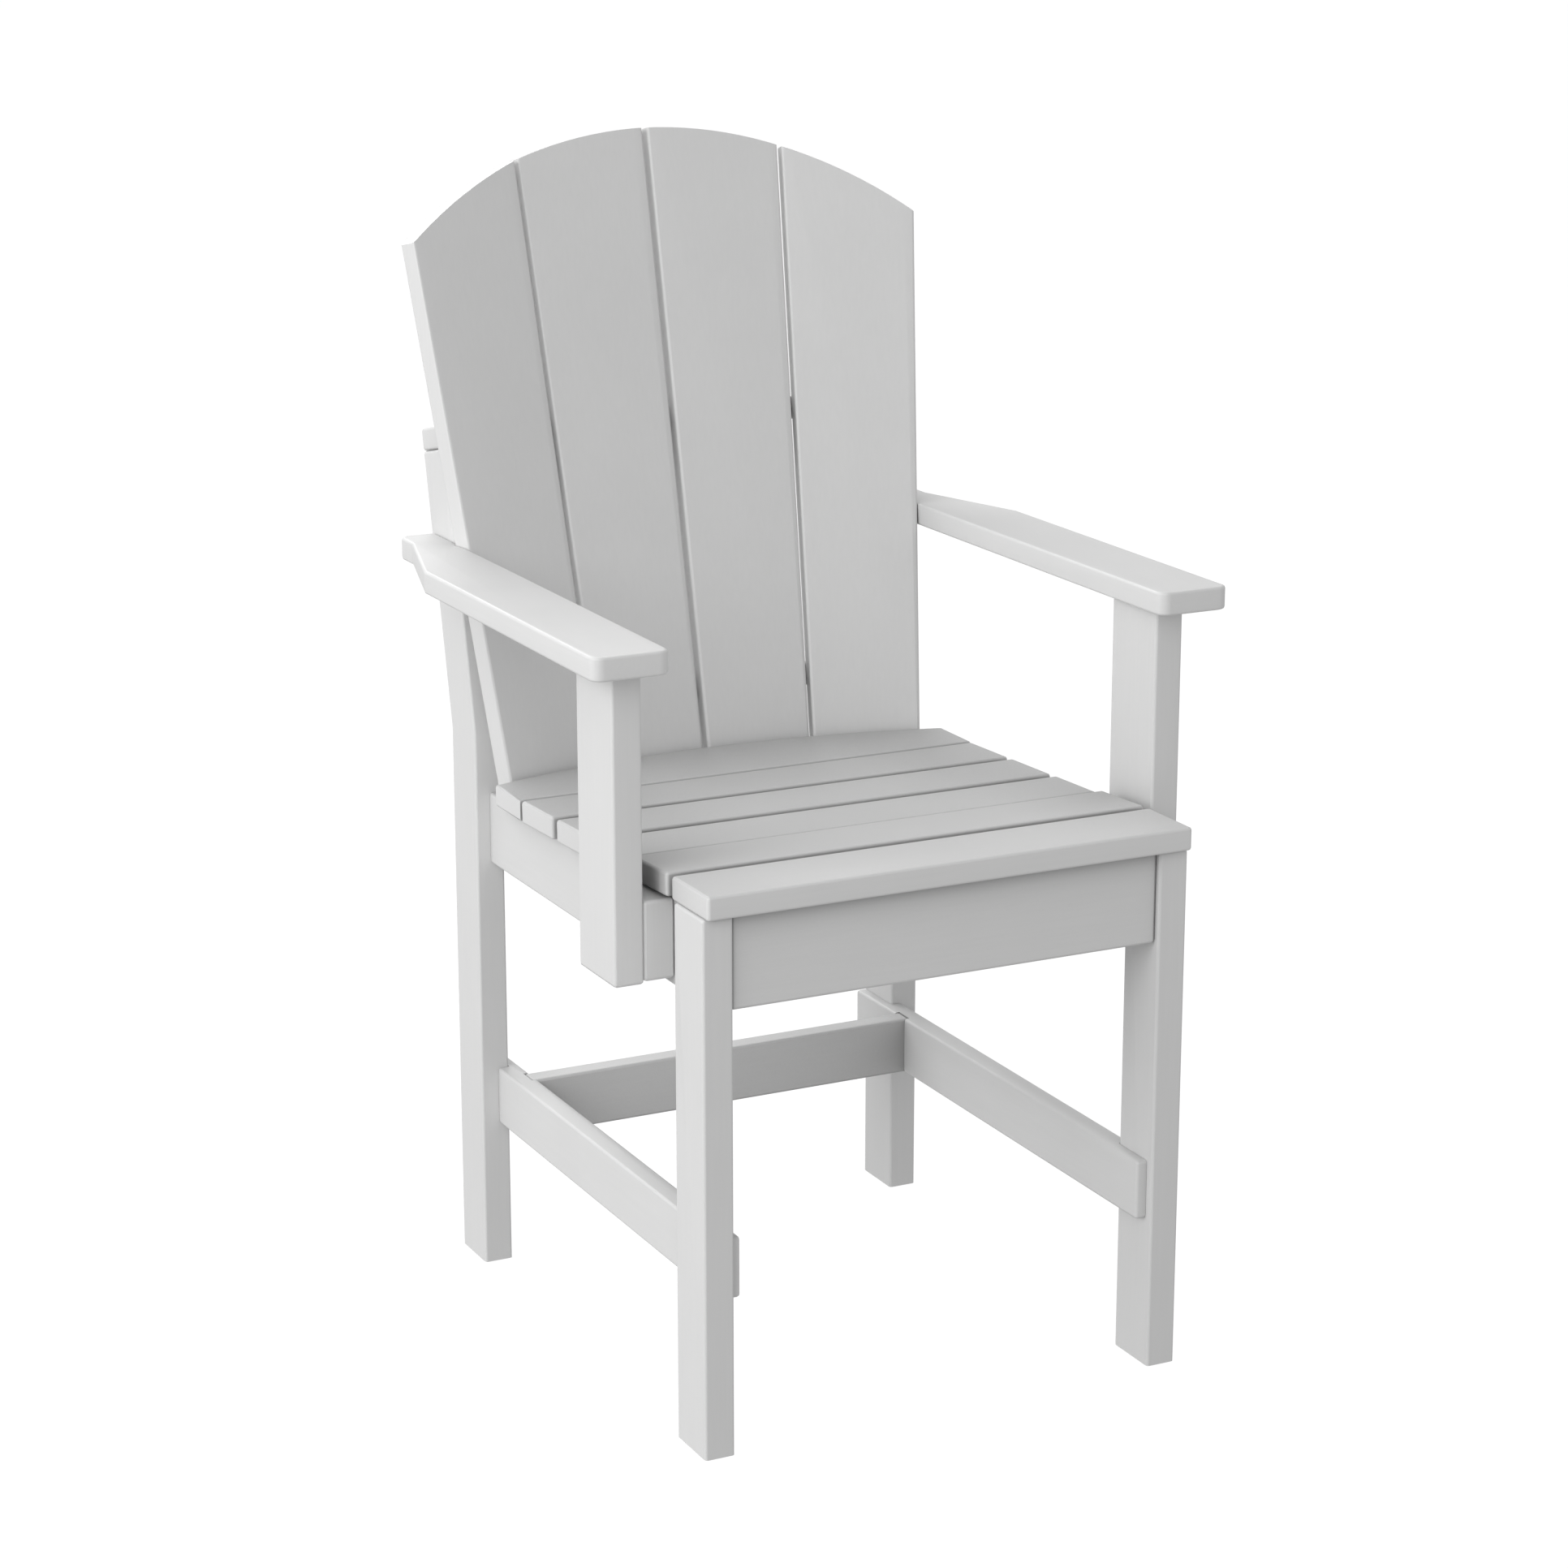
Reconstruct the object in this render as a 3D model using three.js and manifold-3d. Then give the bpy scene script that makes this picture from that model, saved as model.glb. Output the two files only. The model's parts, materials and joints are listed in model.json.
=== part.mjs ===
// Counter-height Adirondack armchair in white poly lumber.
// Millimetres. X runs across the chair, +Y to the back, +Z up, and the floor is Z = 0.
// Left is the left hand of whoever sits in it (+X). The pieces are drawn with Y = 0 at the front
// face of the front legs, and at the end the chair is moved so that Y = 0 is its middle.

import * as THREE from 'three';
import { mergeVertices } from 'three/addons/utils/BufferGeometryUtils.js';
import Module from 'manifold-3d';

const wasm = await Module();
wasm.setup();

// ---- Driving dimensions ----------------------------------------------------------------

const GAP = 0.3;                       // between neighbouring pieces
const EASE = 3.2;                      // rounding of every board edge
const EASE_STEPS = 2;
const ROUND_SIDES = 12;
const WELD = 1e-4;                     // vertices closer than this are one
const CORNER = 4;                      // rounding of a board's corners in its outline
const BOARD = 25.4;                    // thickness of slats, arms, braces and stretchers

const HALF_WIDTH = 283.5;              // centre line to the outer face of a leg
const LEG_THICK = 34;
const LEG_DEEP = 68.5;
const LEG_INNER = HALF_WIDTH - LEG_THICK;
const REAR_LEG_FRONT = 596;            // Y of the rear legs' front faces
const FOOT_SPARE = 10;                 // length sawn off below a leg
const REAR_LEG_KINK = 636;             // height where the rear leg starts to lean back
const RECLINE = THREE.MathUtils.degToRad(12.5);

const SEAT_FRONT_TOP = 610.5;
const SLAT_HALF_LENGTH = 282.4;
const SEAT_FRAME_BOTTOM = 483;
const APRON_FRONT = 6;

const RAIL_OUTER = 266.5;               // centre line to the outer face of a seat rail
const RAIL_THICK = 28.5;
const RAIL_INNER = RAIL_OUTER - RAIL_THICK;

const STRETCHER_OUTER = 262.8;
const STRETCHER_BOTTOM = 169.3;
const STRETCHER_HIGH = 67;
const STRETCHER_FRONT = 11;
const STRETCHER_REAR = 664;
const CROSS_STRETCHER_FRONT = 540.3;
const HOUSING = 7;                     // depth of the cross stretcher's ends in the side stretchers
const REAR_RAIL_FRONT = 512;

const ARM_TOP = 846.4;
const ARM_INNER = HALF_WIDTH;
const ARM_OUTER = 369;
const ARM_FRONT = 66;
const ARM_REAR = 702.5;
const ARM_TAPER_START = 517.5;
const ARM_TAPER_END = 661;
const ARM_TAIL_OUTER = 327;
const ARM_CORNER = 13;
const ARM_TAPER_CORNER = 6;
const ARM_TAIL_CORNER = 12;

const ARM_POST_INNER = 301;
const ARM_POST_THICK = 33;
const ARM_POST_FRONT = 102;
const ARM_POST_DEEP = 90;
const ARM_POST_BOTTOM = 490;
const SPACER_DEEP = 80;
const SPACER_BOTTOM = 492.3;
const SPACER_HIGH = 85.7;

const BACK_ORIGIN = new THREE.Vector3(0, 588.9, 591);   // slats' front faces on the centre line
const BACK_TOP = 1283.4;                // height of the arched top on the centre line
const ARCH_RADIUS = 518;
const ARCH_SPARE = 12;                 // length of a slat's blank above the top of the arch
const ARCH_ROUNDS = 8;                 // of the search for a slat's height under the arch
const ARCH_OVERLAP = 0.03;             // how far the saw passes a slat's edges, in widths
const BACK_SLAT_BELOW = 18;            // depth below BACK_ORIGIN
const UPPER_BRACE_RISE = 366.5;        // from BACK_ORIGIN along the lean to the brace's underside
const LOWER_BRACE_RISE = 54.5;

// Seat slats from the front edge of the seat to the back: centre line, top height there, tilt.
const SEAT_SLAT_WIDE = 86;
const BED_SPARE = 1;                   // of a seat slat's flat bed on the rails, past its edges
const SEAT_SLATS = [
  { centre: 33, top: SEAT_FRONT_TOP, tilt: 0 },
  { centre: 130.5, top: 608, tilt: 3 },
  { centre: 229, top: 599.5, tilt: 2 },
  { centre: 327, top: 595.7, tilt: 2 },
  { centre: 423.5, top: 592.2, tilt: 2 },
];
const REAR_SLAT = { front: 468.5, middle: 581, top: 591.5, bow: 950 };

// Back slats of one half. At BACK_ORIGIN's height: facet angle, inner front corner and width.
// The inner and outer edges drift outwards by a share of the distance up the slat.
const BACK_SLATS = [
  { turn: 2.7, x: 3, y: 588.8, width: 129, innerDrift: -0.0102, outerDrift: 0.035 },
  { turn: 14.75, x: 136, y: 582.9, width: 128.6, innerDrift: -0.0102, outerDrift: 0.0316 },
];

// ---- Materials -------------------------------------------------------------------------

const lumber = new THREE.MeshStandardMaterial({ color: 0xececeb, roughness: 0.55, metalness: 0 });
const steel = new THREE.MeshStandardMaterial({ color: 0xb9bbbd, roughness: 0.35, metalness: 1 });

const chair = new THREE.Group();

// ---- Shape helpers ---------------------------------------------------------------------

// A closed outline through corners [x, y, radius], each rounded by an arc of its radius.
function outline(corners) {
  const shape = new THREE.Shape();
  corners.forEach(([x, y, radius = 0], i) => {
    const corner = new THREE.Vector2(x, y);
    const before = new THREE.Vector2(...corners.at(i - 1)).sub(corner).normalize();
    const after = new THREE.Vector2(...corners[(i + 1) % corners.length]).sub(corner).normalize();
    const half = Math.acos(before.dot(after)) / 2;
    const centre = before.clone().add(after).setLength(radius / Math.sin(half)).add(corner);
    const start = before.multiplyScalar(radius / Math.tan(half)).add(corner);
    const end = after.multiplyScalar(radius / Math.tan(half)).add(corner);
    if (i === 0) {
      shape.moveTo(start.x, start.y);
    } else {
      shape.lineTo(start.x, start.y);
    }
    if (radius > 0) {
      const from = start.clone().sub(centre).angle();
      const to = end.clone().sub(centre).angle();
      const turn = start.clone().sub(corner).cross(end.clone().sub(corner));
      shape.absarc(centre.x, centre.y, radius, from, to, turn > 0);
    }
  });
  shape.closePath();
  return shape;
}

function rectangle(x0, x1, y0, y1) {
  return outline([[x0, y0, CORNER], [x1, y0, CORNER], [x1, y1, CORNER], [x0, y1, CORNER]]);
}

// A board cut to an outline, from z = 0 to its thickness, with eased edges.
function board(shape, thickness) {
  const geometry = new THREE.ExtrudeGeometry(shape, {
    depth: thickness - 2 * EASE,
    bevelThickness: EASE,
    bevelSize: EASE,
    bevelOffset: -EASE,
    bevelSegments: EASE_STEPS,
    curveSegments: 2,
  });
  return geometry.translate(0, 0, EASE);
}

// A board whose outline is drawn in side view (Y, Z), standing from x0 towards +X.
function sideBoard(shape, thickness, x0) {
  const turn = new THREE.Matrix4().set(
    0, 0, 1, x0,
    1, 0, 0, 0,
    0, 1, 0, 0,
    0, 0, 0, 1,
  );
  return board(shape, thickness).applyMatrix4(turn);
}

// A board whose outline is drawn in front view (X, Z), with its front face at y0.
function frontBoard(shape, thickness, y0) {
  const turn = new THREE.Matrix4().set(
    1, 0, 0, 0,
    0, 0, -1, y0 + thickness,
    0, 1, 0, 0,
    0, 0, 0, 1,
  );
  return board(shape, thickness).applyMatrix4(turn);
}

// The lower X of a piece of the given thickness that lies `inner` away from the centre line.
function lowerX(side, inner, thickness) {
  return side > 0 ? inner : -inner - thickness;
}

function toSolid(geometry) {
  const bare = new THREE.BufferGeometry();
  bare.setAttribute('position', geometry.getAttribute('position'));
  bare.setIndex(geometry.getIndex());
  const welded = mergeVertices(bare, WELD);
  const indices = welded.getIndex().array;
  const triangles = [];
  for (let i = 0; i < indices.length; i += 3) {
    const [a, b, c] = indices.slice(i, i + 3);
    if (a !== b && b !== c && c !== a) {
      triangles.push(a, b, c);
    }
  }
  return new wasm.Manifold(new wasm.Mesh({
    numProp: 3,
    vertProperties: new Float32Array(welded.getAttribute('position').array),
    triVerts: new Uint32Array(triangles),
  }));
}

// The geometry with every cutter taken out of it.
function cut(geometry, cutters) {
  let solid = toSolid(geometry);
  for (const cutter of cutters) {
    solid = solid.subtract(toSolid(cutter));
  }
  const mesh = solid.getMesh();
  const result = new THREE.BufferGeometry();
  result.setAttribute('position', new THREE.BufferAttribute(mesh.vertProperties, 3));
  result.setIndex(new THREE.BufferAttribute(mesh.triVerts, 1));
  const flat = result.toNonIndexed();
  flat.computeVertexNormals();
  return flat;
}

function box(x0, x1, y0, y1, z0, z1) {
  const geometry = new THREE.BoxGeometry(x1 - x0, y1 - y0, z1 - z0);
  return geometry.translate((x0 + x1) / 2, (y0 + y1) / 2, (z0 + z1) / 2);
}

// Turns a geometry drawn along +Y into a unit direction, and puts its origin at a point.
function aim(geometry, point, direction) {
  const up = new THREE.Vector3(0, 1, 0);
  geometry.applyQuaternion(new THREE.Quaternion().setFromUnitVectors(up, direction));
  return geometry.translate(point.x, point.y, point.z);
}

// A round bar from `start` along a unit direction.
function rod(radius, length, start, direction) {
  const geometry = new THREE.CylinderGeometry(radius, radius, length, ROUND_SIDES);
  geometry.translate(0, length / 2, 0);
  return aim(geometry, start, direction);
}

function add(name, geometry, material = lumber, parent = chair) {
  const mesh = new THREE.Mesh(geometry, material);
  mesh.name = name;
  parent.add(mesh);
  return mesh;
}

// ---- Fasteners -------------------------------------------------------------------------

const SCREW = { shank: 2.5, length: 50, head: 5, headHigh: 3, socket: 1.8, bite: 16 };
const ARM_SCREW = { shank: 3, length: 58, head: 6, headHigh: 3.4, socket: 2.2 };
const BOLT = { shank: 4, length: 85, head: 7, headHigh: 4.5, socket: 3 };
const TIP = 0.4;                       // a fastener's tip, as a share of its shank
const HEAD_RIM = 0.45;                 // height of a head's rim, as a share of the head
const CROWN_WIDE = 0.72;               // a head's rounded crown, as shares of the head
const CROWN_HIGH = 0.9;
const SOCKET_SIDES = 6;
const HEAD_ROOM = 0.8;                 // play round a sunk head
const COUNTERBORE = 90;
const SLAT_SCREW_SPREAD = 30;          // from a slat's middle to each of its two screws
const BRACE_SCREW_SINK = 4;
const ARM_SCREW_PLACES = [661, 687];   // Y
const ARM_POST_BOLT_PLACES = [[122, 514], [162, 556]];   // Y, Z
const DOWEL = { radius: 5, length: 48, inArm: 14 };

// Where each fastener goes: its head's seat and the direction it is driven in.
function fastener(kind, seat, direction) {
  return { kind, seat, direction };
}

// The empty room that a board keeps for a fastener: clearance hole and counterbore.
function pilot({ kind, seat, direction }) {
  const below = seat.clone().addScaledVector(direction, -GAP);
  return rod(kind.shank + GAP, kind.length + 2 * GAP, below, direction);
}

function counterbore({ kind, seat, direction }) {
  const start = seat.clone().addScaledVector(direction, -COUNTERBORE);
  return rod(kind.head + HEAD_ROOM, COUNTERBORE, start, direction);
}

function fastenerGeometry({ kind, seat, direction }) {
  const profile = [
    [0, -kind.length],
    [kind.shank * TIP, kind.shank - kind.length],
    [kind.shank, kind.shank - kind.length + kind.head],
    [kind.shank, GAP],
    [kind.head, GAP],
    [kind.head, kind.headHigh * HEAD_RIM],
    [kind.head * CROWN_WIDE, kind.headHigh * CROWN_HIGH],
    [0, kind.headHigh],
  ].map(([radius, height]) => new THREE.Vector2(radius, height));
  const turned = new THREE.LatheGeometry(profile, ROUND_SIDES);
  const socket = new THREE.CylinderGeometry(kind.socket, kind.socket, kind.headHigh, SOCKET_SIDES);
  socket.translate(0, kind.headHigh, 0);
  return aim(cut(turned, [socket]), seat, direction.clone().negate());
}

// ---- Places in the leaning back --------------------------------------------------------

// The back leans as one frame: x across, v to the rear square to the lean, w up along it.
const back = new THREE.Group();
back.position.copy(BACK_ORIGIN);
back.rotation.x = -RECLINE;
back.updateMatrix();
chair.add(back);

function fromBack(x, v, w) {
  return new THREE.Vector3(x, v, w).applyMatrix4(back.matrix);
}

function toBack(point) {
  return point.clone().applyMatrix4(back.matrix.clone().invert());
}

// Where a back slat's rear face lies (as v) at a given x and w of the leaning frame.
function slatRear({ turn, x, y }, atX, w) {
  const angle = THREE.MathUtils.degToRad(turn);
  const level = Math.cos(RECLINE);
  const normal = new THREE.Vector3(
    Math.sin(angle) * level, Math.cos(angle) * level, -Math.sin(RECLINE),
  );
  const faceOffset = normal.dot(new THREE.Vector3(x, y, BACK_ORIGIN.z)) + BOARD;
  const start = fromBack(atX, 0, w);
  const alongV = fromBack(atX, 1, w).sub(start);
  return (faceOffset - normal.dot(start)) / normal.dot(alongV);
}

// The X of a back slat at a share of its width (0 at its inner edge) and a distance up its plane.
function slatX(slat, share, up) {
  const angle = THREE.MathUtils.degToRad(slat.turn);
  const across = slatAcross(slat, share, up) * Math.cos(angle);
  return slat.x + across + up * Math.sin(RECLINE) * Math.sin(angle);
}

// The same place in the slat's own plane, measured from the foot of its inner edge.
function slatAcross({ width, innerDrift, outerDrift }, share, up) {
  return share * width + (innerDrift + share * (outerDrift - innerDrift)) * up;
}

const POST_FRONT_V = toBack(new THREE.Vector3(0, REAR_LEG_FRONT, REAR_LEG_KINK)).y;
const POST_REAR_V = POST_FRONT_V + LEG_DEEP;

// The back slats on both sides, with the place of each in the chair.
const backSlatPlaces = [];
for (const side of [-1, 1]) {
  for (const slat of BACK_SLATS) {
    backSlatPlaces.push({ ...slat, side });
  }
}

// The matrix that stands a back slat, drawn in its own plane, in the chair.
function slatMatrix({ turn, x, y, side }) {
  const angles = new THREE.Euler(-RECLINE, 0, -side * THREE.MathUtils.degToRad(turn), 'ZYX');
  return new THREE.Matrix4().makeRotationFromEuler(angles).setPosition(side * x, y, BACK_ORIGIN.z);
}

function slatScrews(rise) {
  const screws = [];
  for (const place of backSlatPlaces) {
    for (const across of [-SLAT_SCREW_SPREAD, SLAT_SCREW_SPREAD]) {
      const w = rise + BOARD / 2;
      const x = slatX(place, 0.5, w) + across;
      const v = slatRear(place, x, w) + SCREW.length - SCREW.bite;
      const seat = new THREE.Vector3(place.side * x, v, w);
      screws.push({ ...fastener(SCREW, seat, new THREE.Vector3(0, -1, 0)), place });
    }
  }
  return screws;
}

const upperScrews = slatScrews(UPPER_BRACE_RISE);
const lowerScrews = slatScrews(LOWER_BRACE_RISE);

// A fastener given in the leaning frame, turned into the chair's frame.
function inChair({ kind, seat, direction }) {
  const turned = direction.clone().transformDirection(back.matrix);
  return fastener(kind, seat.clone().applyMatrix4(back.matrix), turned);
}

function braceScrew(side) {
  const x = side * (HALF_WIDTH - LEG_THICK / 2);
  const z = UPPER_BRACE_RISE + BOARD - BRACE_SCREW_SINK;
  const seat = new THREE.Vector3(x, (POST_FRONT_V + POST_REAR_V) / 2, z);
  return fastener(ARM_SCREW, seat, new THREE.Vector3(0, 0, -1));
}

function armScrews(side) {
  return ARM_SCREW_PLACES.map((y) => {
    const seat = new THREE.Vector3(side * LEG_INNER, y, ARM_TOP - BOARD / 2);
    return fastener(ARM_SCREW, seat, new THREE.Vector3(side, 0, 0));
  });
}

function armPostBolts(side) {
  return ARM_POST_BOLT_PLACES.map(([y, z]) => {
    const seat = new THREE.Vector3(side * RAIL_INNER, y, z);
    return fastener(BOLT, seat, new THREE.Vector3(side, 0, 0));
  });
}

function armDowel(side, clearance = 0) {
  const x = side * (ARM_POST_INNER + ARM_POST_THICK / 2);
  const y = ARM_POST_FRONT + ARM_POST_DEEP / 2;
  const low = new THREE.Vector3(x, y, ARM_TOP - BOARD + DOWEL.inArm - DOWEL.length - clearance);
  return rod(DOWEL.radius + clearance, DOWEL.length + 2 * clearance, low, new THREE.Vector3(0, 0, 1));
}

// ---- Legs ------------------------------------------------------------------------------

const LEG_TOP = SEAT_FRONT_TOP - BOARD - GAP;

// What is sawn off a leg's foot, so that it ends square and sharp.
function footWaste(side, y0, y1) {
  const x = side * (HALF_WIDTH - LEG_THICK / 2);
  return box(x - LEG_THICK, x + LEG_THICK, y0 - EASE, y1 + EASE, -2 * FOOT_SPARE, 0);
}

function frontLeg(side) {
  const shape = rectangle(0, LEG_DEEP, -FOOT_SPARE, LEG_TOP);
  const leg = sideBoard(shape, LEG_THICK, lowerX(side, LEG_INNER, LEG_THICK));
  return cut(leg, [footWaste(side, 0, LEG_DEEP)]);
}

function rearLeg(side) {
  const rear = REAR_LEG_FRONT + LEG_DEEP;
  const rearKink = REAR_LEG_KINK - LEG_DEEP * Math.tan(RECLINE / 2);
  const topFront = fromBack(0, POST_FRONT_V, UPPER_BRACE_RISE - GAP);
  const topRear = fromBack(0, POST_REAR_V, UPPER_BRACE_RISE - GAP);
  const shape = outline([
    [REAR_LEG_FRONT, -FOOT_SPARE, CORNER],
    [rear, -FOOT_SPARE, CORNER],
    [rear, rearKink],
    [topRear.y, topRear.z, CORNER],
    [topFront.y, topFront.z, CORNER],
    [REAR_LEG_FRONT, REAR_LEG_KINK],
  ]);
  const leg = sideBoard(shape, LEG_THICK, lowerX(side, LEG_INNER, LEG_THICK));
  const holes = [inChair(braceScrew(side)), ...armScrews(side)].map(pilot);
  return cut(leg, [...holes, footWaste(side, REAR_LEG_FRONT, rear)]);
}

// ---- Seat frame ------------------------------------------------------------------------

function apron() {
  const half = LEG_INNER - GAP;
  return frontBoard(rectangle(-half, half, SEAT_FRAME_BOTTOM, LEG_TOP), BOARD, APRON_FRONT);
}

// What is taken off a side board's ends, so that a tongue laps the inner face of each leg.
function halvings(side, outer, yFront, yRear, z0, z1) {
  const over = 5;
  const thick = outer - LEG_INNER + GAP + over;
  const x0 = lowerX(side, LEG_INNER - GAP, thick);
  return [
    box(x0, x0 + thick, yFront - over, LEG_DEEP + GAP, z0 - over, z1 + over),
    box(x0, x0 + thick, REAR_LEG_FRONT - GAP, yRear + over, z0 - over, z1 + over),
  ];
}

// The height just under a seat slat at a given Y.
function underSlat({ centre, top, tilt }, y) {
  const angle = THREE.MathUtils.degToRad(tilt);
  return top - BOARD / Math.cos(angle) - (y - centre) * Math.tan(angle) - GAP;
}

// The rail's top follows the slats, front to back, so that each one beds on a flat.
function seatRail(side) {
  const front = APRON_FRONT + BOARD + GAP;
  const rear = STRETCHER_REAR;
  const rearTop = REAR_SLAT.top - BOARD - GAP;
  const bed = SEAT_SLAT_WIDE / 2 + BED_SPARE;
  const beds = SEAT_SLATS.slice(1).flatMap((slat) => {
    const ends = [slat.centre - bed, slat.centre + bed];
    return ends.map((y) => [y, underSlat(slat, y)]);
  });
  const shape = outline([
    [front, SEAT_FRAME_BOTTOM, CORNER],
    [front, LEG_TOP, CORNER],
    [SEAT_SLATS[0].centre + bed, LEG_TOP],
    ...beds,
    [REAR_SLAT.front, rearTop],
    [rear, rearTop, CORNER],
    [rear, SEAT_FRAME_BOTTOM, CORNER],
  ]);
  const rail = sideBoard(shape, RAIL_THICK, lowerX(side, RAIL_INNER, RAIL_THICK));
  const laps = halvings(side, RAIL_OUTER, front, rear, SEAT_FRAME_BOTTOM, LEG_TOP);
  return cut(rail, [...laps, ...armPostBolts(side).map(pilot)]);
}

function rearSeatRail() {
  const half = RAIL_INNER - GAP;
  const shape = rectangle(-half, half, SEAT_FRAME_BOTTOM, REAR_SLAT.top - BOARD - GAP);
  return frontBoard(shape, BOARD, REAR_RAIL_FRONT);
}

// ---- Seat slats ------------------------------------------------------------------------

function seatSlat() {
  const half = SEAT_SLAT_WIDE / 2;
  const shape = rectangle(-SLAT_HALF_LENGTH, SLAT_HALF_LENGTH, -half, half);
  return board(shape, BOARD).translate(0, 0, -BOARD);
}

// The rearmost slat is wider and bowed at the back, to follow the curve of the back slats.
function rearSeatSlat() {
  const sag = REAR_SLAT.bow - Math.sqrt(REAR_SLAT.bow ** 2 - SLAT_HALF_LENGTH ** 2);
  const corner = REAR_SLAT.middle - sag;
  const half = Math.asin(SLAT_HALF_LENGTH / REAR_SLAT.bow);
  const shape = new THREE.Shape();
  shape.moveTo(-SLAT_HALF_LENGTH, REAR_SLAT.front);
  shape.lineTo(SLAT_HALF_LENGTH, REAR_SLAT.front);
  shape.lineTo(SLAT_HALF_LENGTH, corner);
  const steps = 16;
  for (let i = 1; i <= steps; i += 1) {
    const angle = half * (1 - (2 * i) / steps);
    const rise = REAR_SLAT.bow * (1 - Math.cos(angle));
    shape.lineTo(REAR_SLAT.bow * Math.sin(angle), REAR_SLAT.middle - rise);
  }
  shape.closePath();
  return board(shape, BOARD).translate(0, 0, REAR_SLAT.top - BOARD);
}

// ---- Lower stretchers ------------------------------------------------------------------

function sideStretcher(side) {
  const top = STRETCHER_BOTTOM + STRETCHER_HIGH;
  const shape = rectangle(STRETCHER_FRONT, STRETCHER_REAR, STRETCHER_BOTTOM, top);
  const stretcher = sideBoard(shape, BOARD, lowerX(side, STRETCHER_OUTER - BOARD, BOARD));
  const laps = halvings(
    side, STRETCHER_OUTER, STRETCHER_FRONT, STRETCHER_REAR, STRETCHER_BOTTOM, top,
  );
  const inner = STRETCHER_OUTER - BOARD - EASE;
  const x0 = lowerX(side, inner, HOUSING + EASE);
  const y0 = CROSS_STRETCHER_FRONT - GAP;
  const housing = box(
    x0, x0 + HOUSING + EASE, y0, y0 + BOARD + 2 * GAP, STRETCHER_BOTTOM - EASE, top + EASE,
  );
  return cut(stretcher, [...laps, housing]);
}

function crossStretcher() {
  const half = STRETCHER_OUTER - BOARD + HOUSING - GAP;
  const shape = rectangle(-half, half, STRETCHER_BOTTOM, STRETCHER_BOTTOM + STRETCHER_HIGH);
  return frontBoard(shape, BOARD, CROSS_STRETCHER_FRONT);
}

// ---- Arms ------------------------------------------------------------------------------

// The notch in an arm's inner edge that lets the outer back slat pass.
function armNotch(side) {
  const place = backSlatPlaces.find((slat) => slat.side === side && slat.turn === BACK_SLATS[1].turn);
  const low = ARM_TOP - 2 * BOARD - BACK_ORIGIN.z;
  const high = ARM_TOP + BOARD - BACK_ORIGIN.z;
  const edge = slatAcross(place, 1, high) + GAP;
  const x0 = side > 0 ? 0 : -edge;
  return box(x0, x0 + edge, -GAP, BOARD + GAP, low, high).applyMatrix4(slatMatrix(place));
}

function arm(side) {
  const shape = outline([
    [side * ARM_INNER, ARM_FRONT, ARM_CORNER],
    [side * ARM_OUTER, ARM_FRONT, ARM_CORNER],
    [side * ARM_OUTER, ARM_TAPER_START, ARM_TAPER_CORNER],
    [side * ARM_TAIL_OUTER, ARM_TAPER_END, ARM_TAPER_CORNER],
    [side * ARM_TAIL_OUTER, ARM_REAR, ARM_TAIL_CORNER],
    [side * ARM_INNER, ARM_REAR, CORNER],
  ]);
  const plate = board(shape, BOARD).translate(0, 0, ARM_TOP - BOARD);
  return cut(plate, [armNotch(side), ...armScrews(side).map(pilot), armDowel(side, GAP)]);
}

function armPost(side) {
  const rear = ARM_POST_FRONT + ARM_POST_DEEP;
  const shape = rectangle(ARM_POST_FRONT, rear, ARM_POST_BOTTOM, ARM_TOP - BOARD - GAP);
  const post = sideBoard(shape, ARM_POST_THICK, lowerX(side, ARM_POST_INNER, ARM_POST_THICK));
  return cut(post, [...armPostBolts(side).map(pilot), armDowel(side, GAP)]);
}

function armSpacer(side) {
  const inner = RAIL_OUTER + GAP;
  const thick = ARM_POST_INNER - GAP - inner;
  const rear = ARM_POST_FRONT + SPACER_DEEP;
  const shape = rectangle(ARM_POST_FRONT, rear, SPACER_BOTTOM, SPACER_BOTTOM + SPACER_HIGH);
  return cut(sideBoard(shape, thick, lowerX(side, inner, thick)), armPostBolts(side).map(pilot));
}

// ---- Back ------------------------------------------------------------------------------

function archHeight(x) {
  return BACK_TOP - ARCH_RADIUS + Math.sqrt(ARCH_RADIUS ** 2 - x ** 2);
}

// The point of a slat's own plane where the arch passes, at a share of the slat's width.
function onArch(place, share) {
  let up = 0;
  for (let i = 0; i < ARCH_ROUNDS; i += 1) {
    up = (archHeight(slatX(place, share, up)) - BACK_ORIGIN.z) / Math.cos(RECLINE);
  }
  return [place.side * slatAcross(place, share, up), up];
}

// What the saw takes off a slat's blank above the arch. It leaves the edges of the cut sharp.
function archWaste(place, above) {
  const steps = 10;
  const waste = new THREE.Shape();
  const start = -ARCH_OVERLAP;
  const end = 1 + ARCH_OVERLAP;
  waste.moveTo(place.side * slatAcross(place, start, above), above + ARCH_SPARE);
  for (let i = 0; i <= steps; i += 1) {
    waste.lineTo(...onArch(place, THREE.MathUtils.lerp(start, end, i / steps)));
  }
  waste.lineTo(place.side * slatAcross(place, end, above), above + ARCH_SPARE);
  waste.closePath();
  const saw = new THREE.ExtrudeGeometry(waste, { depth: 3 * BOARD, bevelEnabled: false });
  return saw.rotateX(Math.PI / 2).translate(0, 2 * BOARD, 0);
}

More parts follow.
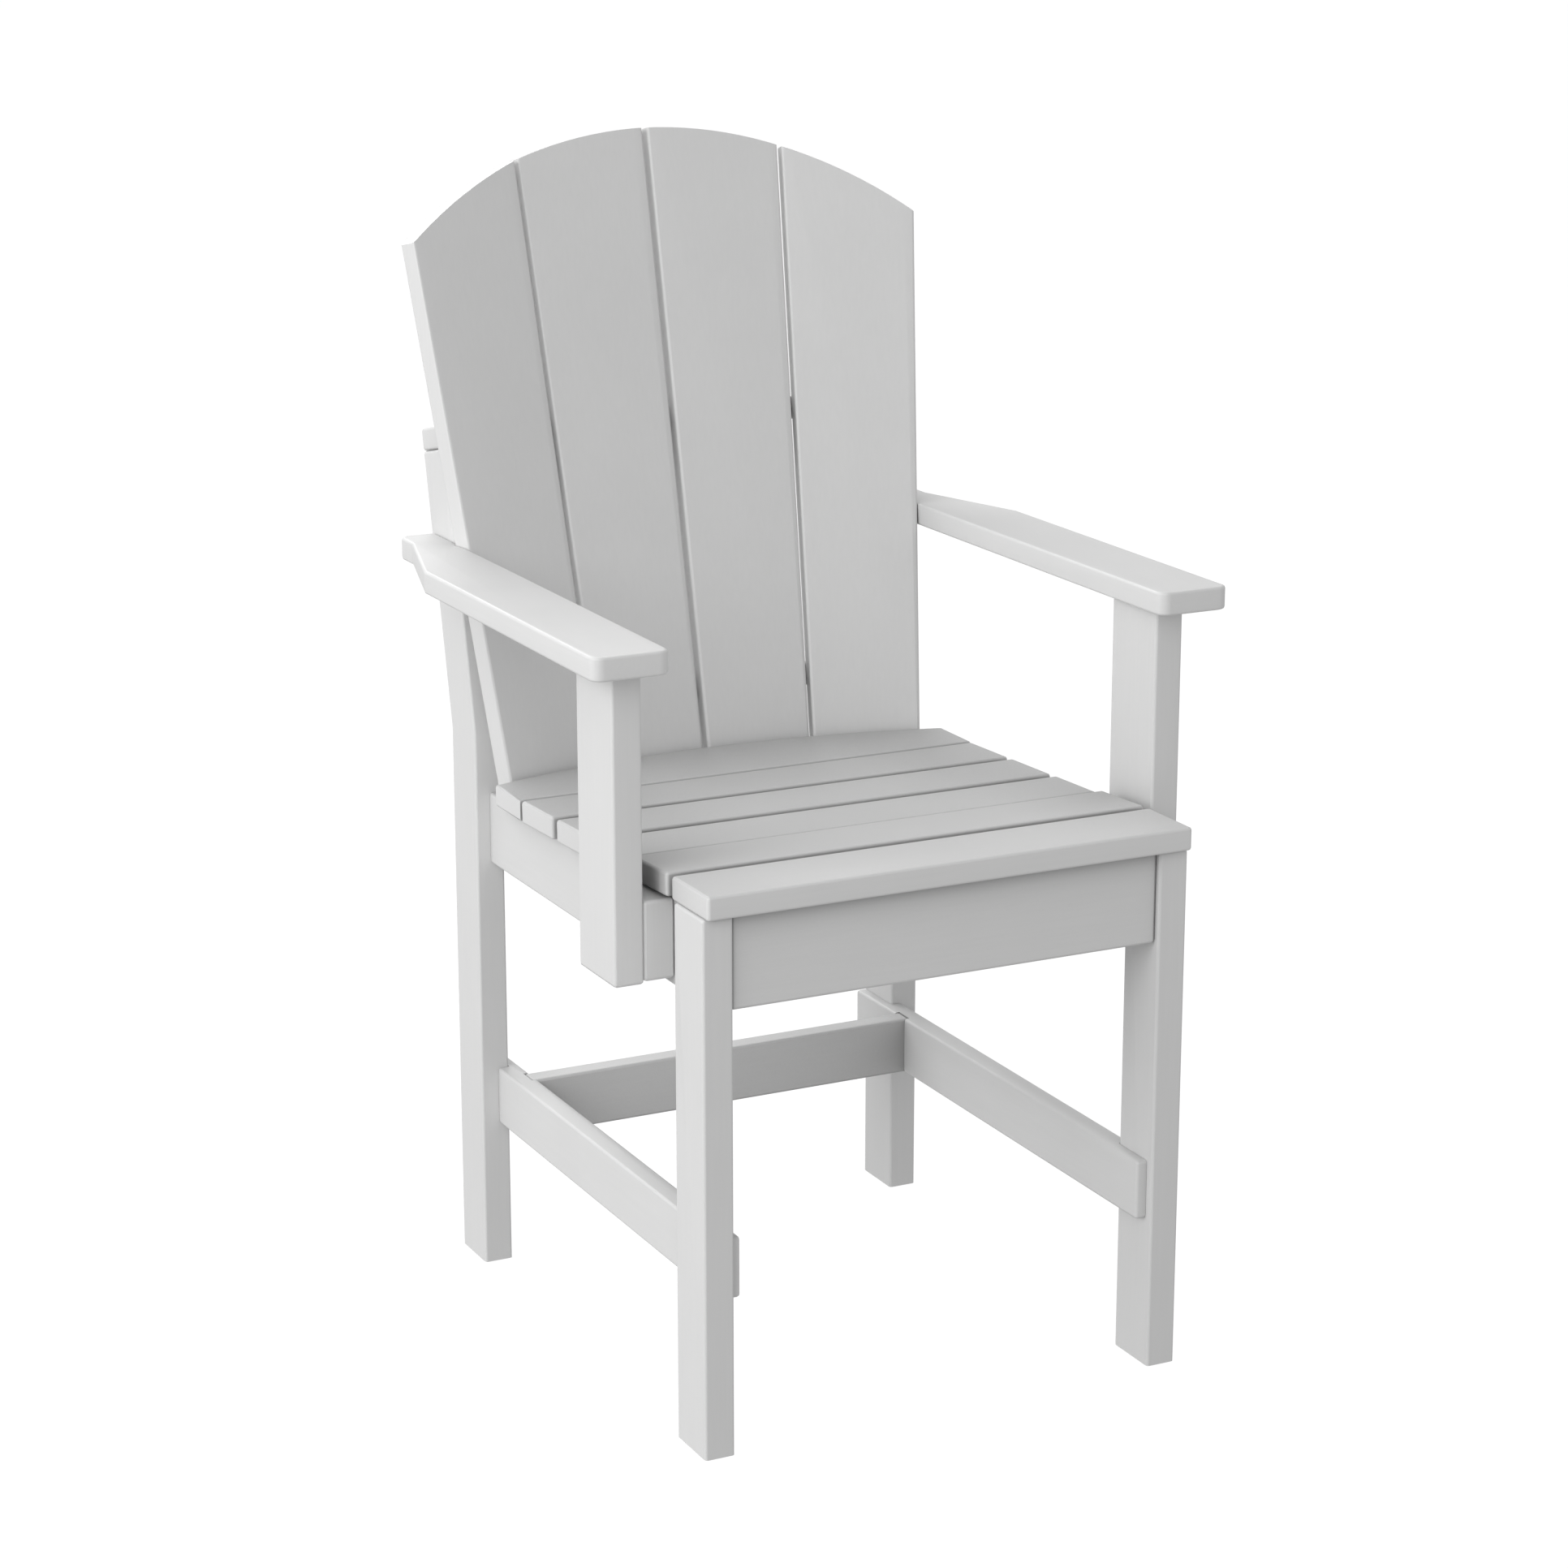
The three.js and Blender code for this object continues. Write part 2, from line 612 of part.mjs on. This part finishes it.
// One back slat in its own plane: across from the foot of its inner edge, and up along the lean.
function backSlat(place) {
  const foot = -BACK_SLAT_BELOW / Math.cos(RECLINE);
  const above = (BACK_TOP - BACK_ORIGIN.z) / Math.cos(RECLINE) + ARCH_SPARE;
  const blank = outline([
    [place.side * slatAcross(place, 0, foot), foot, CORNER],
    [place.side * slatAcross(place, 1, foot), foot, CORNER],
    [place.side * slatAcross(place, 1, above), above, CORNER],
    [place.side * slatAcross(place, 0, above), above, CORNER],
  ]);
  return cut(frontBoard(blank, BOARD, 0), [archWaste(place, above)]);
}

// A brace lies square to the lean, with its front edge cut to the slats' rear faces.
function brace(rise, half, screws) {
  const top = rise + BOARD;
  const [inner, outer] = BACK_SLATS;
  const front = (slat, x) => slatRear(slat, x, top) + GAP;
  const meet = (slatX(inner, 1, top) + slatX(outer, 0, top)) / 2;
  const corners = [
    [0, front(inner, 0)],
    [meet, Math.max(front(inner, meet), front(outer, meet))],
    [half, front(outer, half), CORNER],
    [half, POST_REAR_V, CORNER],
  ];
  const mirrored = corners.slice(1).reverse().map(([x, v, radius]) => [-x, v, radius]);
  const plate = board(outline([...corners, ...mirrored]), BOARD).translate(0, 0, rise);
  return cut(plate, screws.flatMap((screw) => [pilot(screw), counterbore(screw)]));
}

// ---- Assembly --------------------------------------------------------------------------

function addFasteners(name, fasteners, parent = chair) {
  fasteners.forEach((screw, i) => {
    add(`${name}_${i + 1}`, fastenerGeometry(screw), steel, parent);
  });
}

const SIDES = [['left', 1], ['right', -1]];

for (const [word, side] of SIDES) {
  add(`front_leg_${word}`, frontLeg(side));
  add(`rear_leg_${word}`, rearLeg(side));
  add(`seat_rail_${word}`, seatRail(side));
  add(`side_stretcher_${word}`, sideStretcher(side));
  add(`arm_spacer_${word}`, armSpacer(side));
  add(`arm_post_${word}`, armPost(side));
  add(`arm_${word}`, arm(side));
  add(`arm_dowel_${word}`, armDowel(side));
}
add('seat_apron_front', apron());
add('seat_rail_rear', rearSeatRail());
add('rear_stretcher', crossStretcher());

SEAT_SLATS.forEach(({ centre, top, tilt }, i) => {
  const mesh = add(`seat_slat_${i + 1}`, seatSlat());
  mesh.position.set(0, centre, top);
  mesh.rotation.x = -THREE.MathUtils.degToRad(tilt);
});
add(`seat_slat_${SEAT_SLATS.length + 1}`, rearSeatSlat());

const braceScrews = SIDES.map(([, side]) => braceScrew(side));
const upperBrace = brace(UPPER_BRACE_RISE, HALF_WIDTH, [...upperScrews, ...braceScrews]);
add('back_brace_upper', upperBrace, lumber, back);
add('back_brace_lower', brace(LOWER_BRACE_RISE, LEG_INNER - GAP, lowerScrews), lumber, back);

backSlatPlaces.forEach((place, i) => {
  const screws = [...upperScrews, ...lowerScrews].filter((screw) => screw.place === place);
  const holes = screws.map((screw) => pilot(inChair(screw)));
  add(`back_slat_${i + 1}`, cut(backSlat(place).applyMatrix4(slatMatrix(place)), holes));
});

addFasteners('slat_screw_upper', upperScrews, back);
addFasteners('slat_screw_lower', lowerScrews, back);
addFasteners('brace_screw', braceScrews, back);
for (const [word, side] of SIDES) {
  addFasteners(`arm_screw_${word}`, armScrews(side));
  addFasteners(`arm_post_bolt_${word}`, armPostBolts(side));
}

// The origin is on the floor, under the middle of the chair's outer box.
const outerBox = new THREE.Box3().setFromObject(chair, true);
chair.position.y = -outerBox.getCenter(new THREE.Vector3()).y;

export default chair;
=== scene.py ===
import json
import math

import bmesh
import bpy
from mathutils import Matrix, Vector


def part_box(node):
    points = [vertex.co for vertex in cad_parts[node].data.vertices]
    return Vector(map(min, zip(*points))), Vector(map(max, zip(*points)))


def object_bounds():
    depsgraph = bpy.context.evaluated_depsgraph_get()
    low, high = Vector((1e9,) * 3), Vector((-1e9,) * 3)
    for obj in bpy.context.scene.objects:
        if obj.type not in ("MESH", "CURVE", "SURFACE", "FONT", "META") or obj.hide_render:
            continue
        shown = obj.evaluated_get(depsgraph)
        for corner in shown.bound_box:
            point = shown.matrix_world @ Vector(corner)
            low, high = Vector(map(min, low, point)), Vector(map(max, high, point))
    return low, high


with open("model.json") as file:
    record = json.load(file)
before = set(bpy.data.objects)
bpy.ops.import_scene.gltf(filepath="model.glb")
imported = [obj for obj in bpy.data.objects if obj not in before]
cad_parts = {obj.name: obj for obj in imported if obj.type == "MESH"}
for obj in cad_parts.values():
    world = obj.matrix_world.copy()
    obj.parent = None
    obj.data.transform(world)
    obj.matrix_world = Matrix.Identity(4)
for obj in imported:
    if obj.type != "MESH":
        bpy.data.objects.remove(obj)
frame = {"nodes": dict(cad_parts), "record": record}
CAD_LOW, CAD_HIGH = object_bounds()

# ---- Camera ---------------------------------------------------------------------------

IMAGE_SIDE = 1932            # the frame is square
FOCAL = 4783 / IMAGE_SIDE    # in image sides
CAMERA_LEFT = 1.853          # of the chair's centre line
CAMERA_AHEAD = 3.314         # of the chair's front
CAMERA_HIGH = 1.7415
HEADING = math.radians(26.536)      # turned from +Y towards +X
PITCH = math.radians(15.456)        # below the horizon
SENSOR = 36

camera_data = bpy.data.cameras.new("camera")
camera_data.sensor_width = SENSOR
camera_data.lens = FOCAL * SENSOR
camera = bpy.data.objects.new("camera", camera_data)
camera.location = (-CAMERA_LEFT, CAD_LOW[1] - CAMERA_AHEAD, CAMERA_HIGH)
sight = Vector((
    math.sin(HEADING) * math.cos(PITCH),
    math.cos(HEADING) * math.cos(PITCH),
    -math.sin(PITCH),
))
camera.rotation_mode = "QUATERNION"
camera.rotation_quaternion = sight.to_track_quat("-Z", "Y")
bpy.context.scene.collection.objects.link(camera)
bpy.context.scene.camera = camera


# ---- Node helpers ---------------------------------------------------------------------

NOISE_DETAIL = 2.0
NOISE_ROUGHNESS = 0.55
NOISE_LOW, NOISE_HIGH = 0.3, 0.7     # nearly all values of a noise lie between these
BUMP_STRENGTH = 0.5
SHADE_SAMPLES = 8


def new_material(name):
    material = bpy.data.materials.new(name)
    material.use_nodes = True
    nodes = material.node_tree.nodes
    nodes.clear()
    output = nodes.new("ShaderNodeOutputMaterial")
    shader = nodes.new("ShaderNodeBsdfPrincipled")
    material.node_tree.links.new(shader.outputs["BSDF"], output.inputs["Surface"])
    return material, shader


class Nodes:
    """Adds nodes to a material and links them by socket."""

    def __init__(self, material):
        self.tree = material.node_tree

    def add(self, kind, settings=None, **inputs):
        node = self.tree.nodes.new(kind)
        for key, value in (settings or {}).items():
            setattr(node, key, value)
        for key, value in inputs.items():
            self.put(node.inputs[key.replace("_", " ")], value)
        return node

    def put(self, socket, value):
        if isinstance(value, bpy.types.NodeSocket):
            self.tree.links.new(value, socket)
        else:
            socket.default_value = value

    def noise(self, place, scale):
        node = self.add("ShaderNodeTexNoise", Vector=place, Scale=scale, Detail=NOISE_DETAIL)
        node.inputs["Roughness"].default_value = NOISE_ROUGHNESS
        return node.outputs["Fac"]

    def ramp(self, value, low, high):
        """A colour ramp between two stops, each a position and a colour."""
        node = self.add("ShaderNodeValToRGB", Fac=value)
        for element, (position, color) in zip(node.color_ramp.elements, (low, high)):
            element.position = position
            element.color = color
        return node.outputs["Color"]

    def spread(self, value, low, high):
        """A noise stretched to low..high."""
        node = self.add("ShaderNodeMapRange")
        self.put(node.inputs["Value"], value)
        node.inputs["From Min"].default_value = NOISE_LOW
        node.inputs["From Max"].default_value = NOISE_HIGH
        node.inputs["To Min"].default_value = low
        node.inputs["To Max"].default_value = high
        return node.outputs["Result"]

    def math(self, operation, a, b):
        node = self.add("ShaderNodeMath", {"operation": operation})
        self.put(node.inputs[0], a)
        self.put(node.inputs[1], b)
        return node.outputs[0]

    def painted_joint_shade(self, color, reach, darkest):
        """The colour with painted shade: softly darker down in the joints and corners between
        boards.
        """
        settings = {"samples": SHADE_SAMPLES}
        openness = self.add("ShaderNodeAmbientOcclusion", settings, Distance=reach)
        shade = self.add("ShaderNodeMapRange")
        self.put(shade.inputs["Value"], openness.outputs["AO"])
        shade.inputs["To Min"].default_value = darkest
        shade.inputs["To Max"].default_value = 1.0
        dimmed = self.add("ShaderNodeVectorMath", {"operation": "SCALE"})
        self.put(dimmed.inputs[0], color)
        self.put(dimmed.inputs["Scale"], shade.outputs["Result"])
        return dimmed.outputs["Vector"]

    def bump(self, height, distance, normal=None):
        node = self.add("ShaderNodeBump", Height=height, Distance=distance)
        node.inputs["Strength"].default_value = BUMP_STRENGTH
        if normal is not None:
            self.put(node.inputs["Normal"], normal)
        return node.outputs["Normal"]


# ---- White poly lumber ----------------------------------------------------------------

LUMBER_LIGHT = (0.76, 0.76, 0.758, 1)
LUMBER_DARK = (0.74, 0.74, 0.738, 1)
TONE_LOW, TONE_HIGH = 0.35, 0.65     # the mean of two noises strays less than one
SATIN = (0.42, 0.52)         # roughness
STREAK_FINENESS = 260.0      # of the noise across a board, per metre
STREAK_SHARE = 0.04          # of that fineness, along the board
CLOUD_FINENESS = 9.0
SKIN_FINENESS = 1400.0
STREAK_DEPTH = 0.00004
SKIN_DEPTH = 0.00002
PLASTIC_IOR = 1.5

# Reach of the painted shade in joints, and the share of the colour left in the deepest, for the
# boards that run along each axis. Upright boards have none: light passes through their gaps.
PAINTED_JOINT_SHADE = {"x": (0.30, 0.20), "y": (0.10, 0.65), "z": None}


def lumber(axis):
    """Satin white plastic board: faint streaks along the board, a fine moulded skin, and painted
    shade in the joints of boards that lie along x or y.
    """
    material, shader = new_material(f"lumber_{axis}")
    build = Nodes(material)
    place = build.add("ShaderNodeTexCoord").outputs["Object"]

    stretch = [1.0, 1.0, 1.0]
    stretch["xyz".index(axis)] = STREAK_SHARE
    mapping = build.add("ShaderNodeMapping", Vector=place)
    mapping.inputs["Scale"].default_value = stretch
    streaks = build.noise(mapping.outputs["Vector"], STREAK_FINENESS)
    clouds = build.noise(place, CLOUD_FINENESS)
    skin = build.noise(place, SKIN_FINENESS)

    half_streaks = build.math("MULTIPLY", streaks, 0.5)
    half_clouds = build.math("MULTIPLY", clouds, 0.5)
    tone = build.math("ADD", half_streaks, half_clouds)
    color = build.ramp(tone, (TONE_LOW, LUMBER_DARK), (TONE_HIGH, LUMBER_LIGHT))
    # Painted shade: the colour is darkened where boards meet, standing in for the shade there.
    if PAINTED_JOINT_SHADE[axis] is not None:
        color = build.painted_joint_shade(color, *PAINTED_JOINT_SHADE[axis])
    build.put(shader.inputs["Base Color"], color)
    build.put(shader.inputs["Roughness"], build.spread(streaks, *SATIN))
    relief = build.bump(streaks, STREAK_DEPTH)
    build.put(shader.inputs["Normal"], build.bump(skin, SKIN_DEPTH, relief))
    shader.inputs["IOR"].default_value = PLASTIC_IOR
    return material


# ---- Steel ----------------------------------------------------------------------------

STEEL_LIGHT = (0.66, 0.66, 0.67, 1)
STEEL_DARK = (0.50, 0.50, 0.51, 1)
STEEL_GRAIN = 900.0
STEEL_ROUGHNESS = (0.25, 0.4)


def steel():
    """Stainless steel of the screw and bolt heads, with a little turned grain."""
    material, shader = new_material("steel")
    build = Nodes(material)
    place = build.add("ShaderNodeTexCoord").outputs["Object"]
    grain = build.noise(place, STEEL_GRAIN)
    color = build.ramp(grain, (NOISE_LOW, STEEL_DARK), (NOISE_HIGH, STEEL_LIGHT))
    build.put(shader.inputs["Base Color"], color)
    build.put(shader.inputs["Roughness"], build.spread(grain, *STEEL_ROUGHNESS))
    shader.inputs["Metallic"].default_value = 1.0
    return material


# ---- The chair's own pieces -----------------------------------------------------------

# One material per board axis: the streaks run along the board, and the x and y copies carry
# painted shade.
LUMBER = {axis: lumber(axis) for axis in PAINTED_JOINT_SHADE}
STEEL = steel()
SHARP = math.radians(55)     # edges that turn more than this are sawn, not eased
WELD_DISTANCE = 0.00002
FACE_WEIGHT = 100            # how much a board's flat faces pull the normals of its eased edges


def board_axis(node):
    """The axis along which a board is longest."""
    low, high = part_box(node)
    size = high - low
    return "xyz"[max(range(3), key=lambda i: size[i])]


def sharp_edge_group():
    """Geometry nodes that shade every edge sharper than SHARP as a crease."""
    group = bpy.data.node_groups.new("sharp_edges", "GeometryNodeTree")
    group.interface.new_socket("Geometry", in_out="INPUT", socket_type="NodeSocketGeometry")
    group.interface.new_socket("Geometry", in_out="OUTPUT", socket_type="NodeSocketGeometry")
    start = group.nodes.new("NodeGroupInput")
    end = group.nodes.new("NodeGroupOutput")
    angle = group.nodes.new("GeometryNodeInputMeshEdgeAngle")
    compare = group.nodes.new("FunctionNodeCompare")
    compare.operation = "LESS_THAN"
    compare.inputs["B"].default_value = SHARP
    faces = group.nodes.new("GeometryNodeSetShadeSmooth")
    edges = group.nodes.new("GeometryNodeSetShadeSmooth")
    edges.domain = "EDGE"
    group.links.new(start.outputs[0], faces.inputs["Geometry"])
    group.links.new(faces.outputs[0], edges.inputs["Geometry"])
    group.links.new(angle.outputs["Unsigned Angle"], compare.inputs["A"])
    group.links.new(compare.outputs["Result"], edges.inputs["Shade Smooth"])
    group.links.new(edges.outputs[0], end.inputs[0])
    return group


SHARP_EDGES = sharp_edge_group()


def finish_edges(piece):
    """Smooths the eased edges, and leaves the flat faces flat and the sawn edges sharp."""
    if piece.data.has_custom_normals:
        with bpy.context.temp_override(object=piece, active_object=piece):
            bpy.ops.mesh.customdata_custom_splitnormals_clear()
    weld = piece.modifiers.new("weld", "WELD")
    weld.merge_threshold = WELD_DISTANCE
    sharp = piece.modifiers.new("sharp", "NODES")
    sharp.node_group = SHARP_EDGES
    weighted = piece.modifiers.new("weighted", "WEIGHTED_NORMAL")
    weighted.mode = "FACE_AREA_WITH_ANGLE"
    weighted.weight = FACE_WEIGHT
    weighted.keep_sharp = True


SLOTS = {part["node"]: part["material_slot"] for part in frame["record"]["subparts"]}

for name, piece in frame["nodes"].items():
    piece.data.materials.clear()
    piece.data.materials.append(STEEL if SLOTS[name] == "steel" else LUMBER[board_axis(name)])
    finish_edges(piece)


# ---- Floor and light ------------------------------------------------------------------

WHITE = (1, 1, 1, 1)
BLACK = (0, 0, 0, 1)
STAGE_RADIUS = 30
FLOOR_GREY = (0.08, 0.08, 0.08, 1)
FLOOR_GLOW = 0.97            # the floor is a lit white sweep, without hard shadows
BACKDROP_GLOW = 1.0
WORLD_LIGHT = 0.48

# Big soft lamps on a ring round the chair: turn from the front towards -X, height above the
# chair's middle, and power in watts.
LAMPS = {
    "key_left": (90, 20, 112),
    "fill_front": (45, 30, 60),
    "fill_right": (-100, 20, 18),
    "rim_behind": (180, 40, 124),
}
LAMP_AWAY = 5.0
LAMP_SIZE = 4.0


def glowing_stage(name, mesh, color, glow):
    """A matt glowing surface. Only the camera sees it: lamps and world alone light the chair."""
    material, shader = new_material(name)
    shader.inputs["Base Color"].default_value = color
    shader.inputs["Roughness"].default_value = 1.0
    shader.inputs["Specular IOR Level"].default_value = 0.0
    shader.inputs["Emission Color"].default_value = WHITE
    shader.inputs["Emission Strength"].default_value = glow
    mesh.materials.append(material)
    stage = bpy.data.objects.new(name, mesh)
    stage.visible_diffuse = False
    stage.visible_glossy = False
    bpy.context.scene.collection.objects.link(stage)
    return stage


def pale_floor():
    mesh = bpy.data.meshes.new("floor")
    corners = [(x, y, 0) for x, y in ((-1, -1), (1, -1), (1, 1), (-1, 1))]
    mesh.from_pydata([Vector(corner) * STAGE_RADIUS for corner in corners], [], [(0, 1, 2, 3)])
    floor = glowing_stage("floor", mesh, FLOOR_GREY, FLOOR_GLOW)


def white_backdrop():
    """A glowing dome behind everything, for the views that look over the floor's far edge."""
    shell = bmesh.new()
    bmesh.ops.create_uvsphere(shell, u_segments=32, v_segments=16, radius=STAGE_RADIUS)
    mesh = bpy.data.meshes.new("backdrop")
    shell.to_mesh(mesh)
    shell.free()
    dome = glowing_stage("backdrop", mesh, BLACK, BACKDROP_GLOW)
    dome.visible_shadow = False


def soft_lamp(name, turn, rise, power):
    """A round soft lamp on the ring, aimed at the middle of the chair."""
    turn, rise = math.radians(turn), math.radians(rise)
    away = Vector((
        -math.sin(turn) * math.cos(rise),
        -math.cos(turn) * math.cos(rise),
        math.sin(rise),
    ))
    data = bpy.data.lights.new(name, "AREA")
    data.shape = "DISK"
    data.size = LAMP_SIZE
    data.energy = power
    lamp = bpy.data.objects.new(name, data)
    middle = (Vector(CAD_LOW) + Vector(CAD_HIGH)) / 2
    lamp.location = middle + away * LAMP_AWAY
    lamp.rotation_mode = "QUATERNION"
    lamp.rotation_quaternion = (-away).to_track_quat("-Z", "Y")
    bpy.context.scene.collection.objects.link(lamp)


def surroundings():
    world = bpy.data.worlds.new("studio")
    bpy.context.scene.world = world
    world.use_nodes = True
    background = world.node_tree.nodes["Background"]
    background.inputs["Color"].default_value = WHITE
    background.inputs["Strength"].default_value = WORLD_LIGHT


pale_floor()
white_backdrop()
surroundings()
for name, (turn, rise, power) in LAMPS.items():
    soft_lamp(name, turn, rise, power)

bpy.context.scene.view_settings.view_transform = "Standard"
